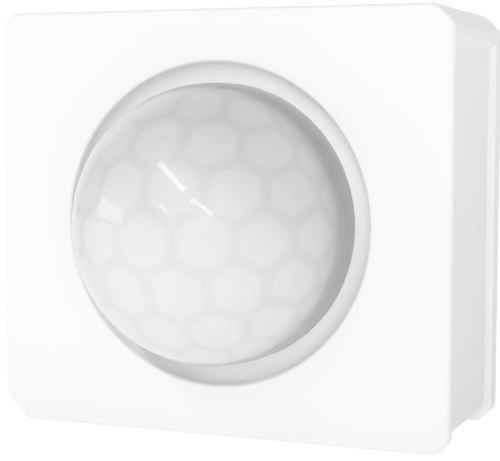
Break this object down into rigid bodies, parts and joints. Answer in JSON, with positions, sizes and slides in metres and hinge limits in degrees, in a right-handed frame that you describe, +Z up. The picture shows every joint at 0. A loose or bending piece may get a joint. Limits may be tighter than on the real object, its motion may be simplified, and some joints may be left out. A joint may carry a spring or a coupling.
{
  "type": "motion sensor",
  "caption": "Small square white infrared motion sensor: flat front with cut corners, honeycomb dome lens in a dished recess, recessed sides, clip-on rear cover over a coin cell.",
  "frame": {"origin": "on the surface it stands on, under the middle of its width and of its depth", "axes": "+X to the sensor's right seen from the front, +Y towards its back, +Z up; the dome looks along -Y"},
  "size_m": [0.0396, 0.0284, 0.035],
  "materials": {
    "case_plastic": "fine moulded white",
    "lens_plastic": "milky, smooth outside",
    "inner_plastic": "plain moulded white",
    "button_plastic": "fine moulded white",
    "pad_foam": "closed-cell foam with a smooth face",
    "board_laminate": "green solder mask",
    "board_copper": "bare tinned copper",
    "screw_steel": "bright zinc",
    "can_steel": "drawn nickel-plated steel",
    "filter_window": "dark silicon filter",
    "sensing_ceramic": "fired ceramic",
    "lead_metal": "tinned",
    "chip_epoxy": "moulded black epoxy",
    "crystal_metal": "plated lid",
    "tantalum_epoxy": "moulded yellow epoxy",
    "led_resin": "clear resin",
    "capacitor_ceramic": "fired ceramic",
    "resistor_glaze": "black glaze",
    "holder_plastic": "moulded black nylon",
    "contact_metal": "nickel-plated spring strip",
    "cell_steel": "rolled stainless steel",
    "seal_plastic": "grey seal",
    "electrode_paste": "pressed powder"
  },
  "bodies": {
    "case": {"front_housing": "case_plastic", "fresnel_lens": "lens_plastic", "lens_retainer": "inner_plastic", "circuit_board": "board_laminate", "antenna_trace": "board_copper", "board_screws": "screw_steel", "pir_header": "can_steel", "pir_can": "can_steel", "pir_window": "filter_window", "pir_element": "sensing_ceramic", "pir_leads": "lead_metal", "pir_spacer": "inner_plastic", "radio_chip": "chip_epoxy", "main_crystal": "crystal_metal", "clock_crystal": "crystal_metal", "amplifier_chip": "chip_epoxy", "amplifier_leads": "lead_metal", "tantalum_capacitor": "tantalum_epoxy", "indicator_led": "led_resin", "ceramic_capacitors": "capacitor_ceramic", "chip_resistors": "resistor_glaze", "chip_end_caps": "lead_metal", "battery_holder": "holder_plastic", "positive_contact": "contact_metal", "negative_contact": "contact_metal", "switch_body": "holder_plastic", "switch_shield": "can_steel", "switch_terminals": "lead_metal", "switch_dome": "contact_metal"},
    "cover": {"rear_cover": "case_plastic", "adhesive_pad": "pad_foam"},
    "coin_cell": {"cell_can": "cell_steel", "cell_cap": "cell_steel", "cell_gasket": "seal_plastic", "cell_core": "electrode_paste"},
    "button": {"pairing_button": "button_plastic", "switch_plunger": "inner_plastic"}
  },
  "joints": [
    {"name": "rear_cover_slide", "type": "slide", "parent": "case", "child": "cover", "axis": [0, 1, 0], "range_m": [0, 0.03]},
    {"name": "coin_cell_slide", "type": "slide", "parent": "case", "child": "coin_cell", "axis": [0, 1, 0], "range_m": [0, 0.012]},
    {"name": "button_press", "type": "slide", "parent": "case", "child": "button", "axis": [0, 0, -1], "range_m": [0, 0.00025], "stiffness_N_per_m": 4000, "springref_m": -0.00005}
  ],
  "couplings": [
    {"joint": "coin_cell_slide", "follows": "rear_cover_slide", "ratio": 0.4}
  ]
}
